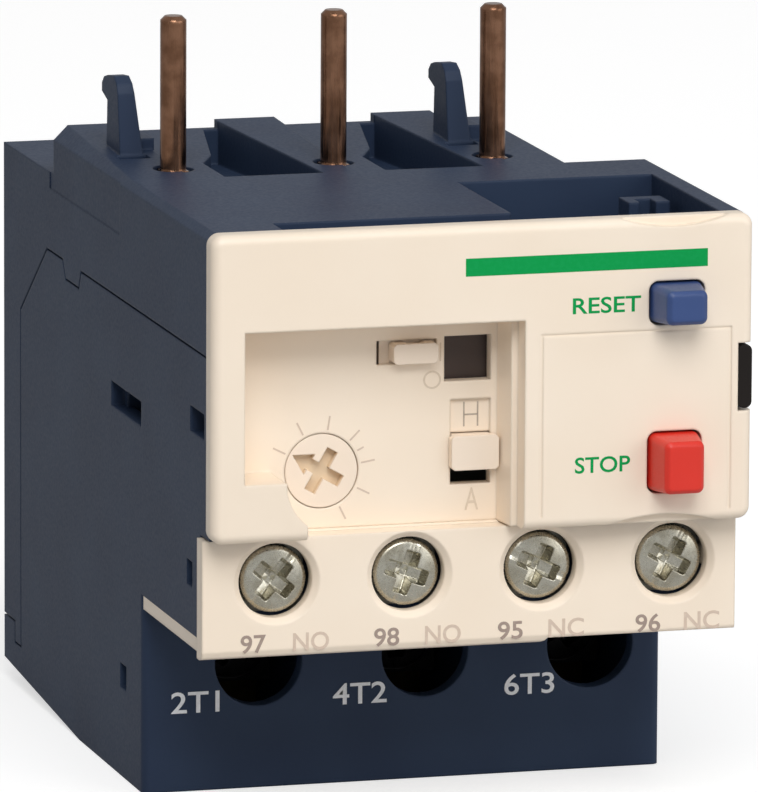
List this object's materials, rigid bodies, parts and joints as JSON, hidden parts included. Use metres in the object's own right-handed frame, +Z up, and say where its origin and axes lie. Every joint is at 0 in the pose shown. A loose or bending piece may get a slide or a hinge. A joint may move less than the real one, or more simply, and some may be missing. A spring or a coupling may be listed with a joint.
{
  "type": "thermal overload relay",
  "caption": "Three-pole plug-in thermal overload relay: dark body, cream cover with setting dial, test tab, reset and stop buttons, screw terminals and line pins.",
  "frame": {"origin": "middle of the bounding box on its underside, level with the flat underside of the power terminal block", "axes": "+Z up along the line pins, -Y out of the front cover, +X to the right seen from the front"},
  "size_m": [0.045, 0.073, 0.0628],
  "materials": {
    "housing_plastic": "moulded, fine matt texture, blue-black grey",
    "cover_plastic": "moulded, smooth satin, warm cream",
    "latch_plastic": "moulded, matt black-brown",
    "frame_plastic": "moulded, matt grey",
    "spring_steel": "drawn wire, bright",
    "pin_metal": "turned copper alloy, darkened",
    "heater_alloy": "rolled resistance ribbon",
    "terminal_brass": "stamped",
    "bimetal": "rolled strip",
    "clamp_steel": "stamped, zinc plated",
    "screw_steel": "cold headed, zinc plated, yellow-green passivation",
    "blue_plastic": "moulded, satin",
    "red_plastic": "moulded, satin",
    "selector_plastic": "moulded, satin",
    "tab_plastic": "moulded, satin",
    "flag_plastic": "moulded, matt",
    "slide_plastic": "moulded, matt",
    "contact_brass": "stamped, silver tips"
  },
  "bodies": {
    "relay_base": {"upper_housing": "housing_plastic", "lower_housing": "housing_plastic", "front_cover": "cover_plastic", "terminal_cover": "cover_plastic", "side_latch": "latch_plastic", "mechanism_frame": "frame_plastic", "rocker_pin": "spring_steel", "compensation_pin": "spring_steel", "reset_spring": "spring_steel", "stop_spring": "spring_steel", "line_pin_1": "pin_metal", "line_pin_2": "pin_metal", "line_pin_3": "pin_metal", "heater_winding_1": "heater_alloy", "heater_winding_2": "heater_alloy", "heater_winding_3": "heater_alloy", "load_terminal_1": "terminal_brass", "load_terminal_2": "terminal_brass", "load_terminal_3": "terminal_brass", "aux_terminal_97": "terminal_brass", "aux_terminal_98": "terminal_brass", "aux_terminal_95": "terminal_brass", "aux_terminal_96": "terminal_brass"},
    "reset_button": {"reset_button": "blue_plastic"},
    "stop_button": {"stop_button": "red_plastic"},
    "setting_dial": {"setting_dial": "cover_plastic"},
    "adjusting_slide": {"adjusting_slide": "slide_plastic"},
    "mode_selector": {"mode_selector": "selector_plastic"},
    "test_lever": {"test_lever": "tab_plastic"},
    "trip_flag": {"trip_flag": "flag_plastic"},
    "trip_rocker": {"trip_rocker": "slide_plastic"},
    "contact_carrier": {"contact_carrier": "slide_plastic", "nc_contact_bridge": "contact_brass", "no_contact_bridge": "contact_brass"},
    "bimetal_1": {"bimetal_strip_1": "bimetal"},
    "bimetal_2": {"bimetal_strip_2": "bimetal"},
    "bimetal_3": {"bimetal_strip_3": "bimetal"},
    "front_slide": {"differential_slide_front": "slide_plastic", "differential_lever": "slide_plastic"},
    "rear_slide": {"differential_slide_rear": "slide_plastic"},
    "compensation_lever": {"compensation_lever": "bimetal"},
    "load_clamp_1": {"load_clamp_1": "clamp_steel"},
    "load_screw_1": {"load_screw_1": "screw_steel"},
    "load_clamp_2": {"load_clamp_2": "clamp_steel"},
    "load_screw_2": {"load_screw_2": "screw_steel"},
    "load_clamp_3": {"load_clamp_3": "clamp_steel"},
    "load_screw_3": {"load_screw_3": "screw_steel"},
    "aux_clamp_97": {"aux_clamp_97": "clamp_steel"},
    "aux_screw_97": {"aux_screw_97": "screw_steel"},
    "aux_clamp_98": {"aux_clamp_98": "clamp_steel"},
    "aux_screw_98": {"aux_screw_98": "screw_steel"},
    "aux_clamp_95": {"aux_clamp_95": "clamp_steel"},
    "aux_screw_95": {"aux_screw_95": "screw_steel"},
    "aux_clamp_96": {"aux_clamp_96": "clamp_steel"},
    "aux_screw_96": {"aux_screw_96": "screw_steel"}
  },
  "joints": [
    {"name": "reset_press", "type": "slide", "parent": "relay_base", "child": "reset_button", "axis": [0, 1, 0], "range_m": [0, 0.002], "stiffness_N_per_m": 600, "springref_m": -0.0005, "deforming": ["reset_spring"]},
    {"name": "stop_press", "type": "slide", "parent": "relay_base", "child": "stop_button", "axis": [0, 1, 0], "range_m": [0, 0.002], "stiffness_N_per_m": 600, "springref_m": -0.0005, "deforming": ["stop_spring"]},
    {"name": "dial_turn", "type": "hinge", "parent": "relay_base", "child": "setting_dial", "pos_m": [-0.0121, -0.0255, 0.0299], "axis": [0, 1, 0], "range_deg": [0, 216]},
    {"name": "adjusting_lift", "type": "slide", "parent": "relay_base", "child": "adjusting_slide", "axis": [0, 0, 1], "range_m": [0, 0.0012]},
    {"name": "selector_shift", "type": "slide", "parent": "relay_base", "child": "mode_selector", "axis": [0, 0, -1], "range_m": [0, 0.00125]},
    {"name": "test_shift", "type": "slide", "parent": "relay_base", "child": "test_lever", "axis": [-1, 0, 0], "range_m": [0, 0.001], "stiffness_N_per_m": 400, "springref_m": -0.0005},
    {"name": "rocker_trip", "type": "hinge", "parent": "relay_base", "child": "trip_rocker", "pos_m": [0, -0.009, 0.0385], "axis": [1, 0, 0], "range_deg": [0, 9.2]},
    {"name": "carrier_shift", "type": "slide", "parent": "relay_base", "child": "contact_carrier", "axis": [0, 1, 0], "range_m": [0, 0.001]},
    {"name": "flag_drop", "type": "slide", "parent": "relay_base", "child": "trip_flag", "axis": [0, 0, -1], "range_m": [0, 0.0012]},
    {"name": "bimetal_1_bend", "type": "hinge", "parent": "relay_base", "child": "bimetal_1", "pos_m": [-0.017, 0.0225, 0.01], "axis": [0, -1, 0], "range_deg": [0, 2.2], "stiffness_Nm_per_rad": 0.05},
    {"name": "bimetal_2_bend", "type": "hinge", "parent": "relay_base", "child": "bimetal_2", "pos_m": [-0.00335, 0.0225, 0.01], "axis": [0, -1, 0], "range_deg": [0, 2.2], "stiffness_Nm_per_rad": 0.05},
    {"name": "bimetal_3_bend", "type": "hinge", "parent": "relay_base", "child": "bimetal_3", "pos_m": [0.0103, 0.0225, 0.01], "axis": [0, -1, 0], "range_deg": [0, 2.2], "stiffness_Nm_per_rad": 0.05},
    {"name": "front_slide_shift", "type": "slide", "parent": "relay_base", "child": "front_slide", "axis": [-1, 0, 0], "range_m": [0, 0.001]},
    {"name": "rear_slide_shift", "type": "slide", "parent": "relay_base", "child": "rear_slide", "axis": [-1, 0, 0], "range_m": [0, 0.001]},
    {"name": "compensation_swing", "type": "hinge", "parent": "relay_base", "child": "compensation_lever", "pos_m": [-0.0185, 0.0005, 0.037], "axis": [0, 0, 1], "range_deg": [0, 3.85]},
    {"name": "load_clamp_1_close", "type": "slide", "parent": "relay_base", "child": "load_clamp_1", "axis": [0, 1, 0], "range_m": [0, 0.0025]},
    {"name": "load_screw_1_turn", "type": "hinge", "parent": "load_clamp_1", "child": "load_screw_1", "pos_m": [-0.01235, -0.0015, 0.01055], "axis": [0, 1, 0], "range_deg": [0, 1285.8]},
    {"name": "load_clamp_2_close", "type": "slide", "parent": "relay_base", "child": "load_clamp_2", "axis": [0, 1, 0], "range_m": [0, 0.0025]},
    {"name": "load_screw_2_turn", "type": "hinge", "parent": "load_clamp_2", "child": "load_screw_2", "pos_m": [0.00185, -0.0015, 0.01055], "axis": [0, 1, 0], "range_deg": [0, 1285.8]},
    {"name": "load_clamp_3_close", "type": "slide", "parent": "relay_base", "child": "load_clamp_3", "axis": [0, 1, 0], "range_m": [0, 0.0025]},
    {"name": "load_screw_3_turn", "type": "hinge", "parent": "load_clamp_3", "child": "load_screw_3", "pos_m": [0.01605, -0.0015, 0.01055], "axis": [0, 1, 0], "range_deg": [0, 1285.8]},
    {"name": "aux_clamp_97_close", "type": "slide", "parent": "relay_base", "child": "aux_clamp_97", "axis": [0, 1, 0], "range_m": [0, 0.0025]},
    {"name": "aux_screw_97_turn", "type": "hinge", "parent": "aux_clamp_97", "child": "aux_screw_97", "pos_m": [-0.0163, -0.0285, 0.02145], "axis": [0, 1, 0], "range_deg": [0, 1500]},
    {"name": "aux_clamp_98_close", "type": "slide", "parent": "relay_base", "child": "aux_clamp_98", "axis": [0, 1, 0], "range_m": [0, 0.0025]},
    {"name": "aux_screw_98_turn", "type": "hinge", "parent": "aux_clamp_98", "child": "aux_screw_98", "pos_m": [-0.00525, -0.0285, 0.02145], "axis": [0, 1, 0], "range_deg": [0, 1500]},
    {"name": "aux_clamp_95_close", "type": "slide", "parent": "relay_base", "child": "aux_clamp_95", "axis": [0, 1, 0], "range_m": [0, 0.0025]},
    {"name": "aux_screw_95_turn", "type": "hinge", "parent": "aux_clamp_95", "child": "aux_screw_95", "pos_m": [0.0058, -0.0285, 0.02145], "axis": [0, 1, 0], "range_deg": [0, 1500]},
    {"name": "aux_clamp_96_close", "type": "slide", "parent": "relay_base", "child": "aux_clamp_96", "axis": [0, 1, 0], "range_m": [0, 0.0025]},
    {"name": "aux_screw_96_turn", "type": "hinge", "parent": "aux_clamp_96", "child": "aux_screw_96", "pos_m": [0.01685, -0.0285, 0.02145], "axis": [0, 1, 0], "range_deg": [0, 1500]}
  ],
  "couplings": [
    {"joint": "dial_turn", "follows": "adjusting_lift", "rad_per_m": 3141.6},
    {"joint": "rocker_trip", "follows": "carrier_shift", "rad_per_m": 160.57},
    {"joint": "flag_drop", "follows": "carrier_shift", "ratio": 1.2},
    {"joint": "bimetal_1_bend", "follows": "front_slide_shift", "rad_per_m": 38.397},
    {"joint": "bimetal_2_bend", "follows": "front_slide_shift", "rad_per_m": 38.397},
    {"joint": "bimetal_3_bend", "follows": "front_slide_shift", "rad_per_m": 38.397},
    {"joint": "rear_slide_shift", "follows": "front_slide_shift", "ratio": 1},
    {"joint": "compensation_swing", "follows": "front_slide_shift", "rad_per_m": 67.195},
    {"joint": "load_screw_1_turn", "follows": "load_clamp_1_close", "rad_per_m": 8975.9},
    {"joint": "load_screw_2_turn", "follows": "load_clamp_2_close", "rad_per_m": 8975.9},
    {"joint": "load_screw_3_turn", "follows": "load_clamp_3_close", "rad_per_m": 8975.9},
    {"joint": "aux_screw_97_turn", "follows": "aux_clamp_97_close", "rad_per_m": 10472},
    {"joint": "aux_screw_98_turn", "follows": "aux_clamp_98_close", "rad_per_m": 10472},
    {"joint": "aux_screw_95_turn", "follows": "aux_clamp_95_close", "rad_per_m": 10472},
    {"joint": "aux_screw_96_turn", "follows": "aux_clamp_96_close", "rad_per_m": 10472}
  ]
}
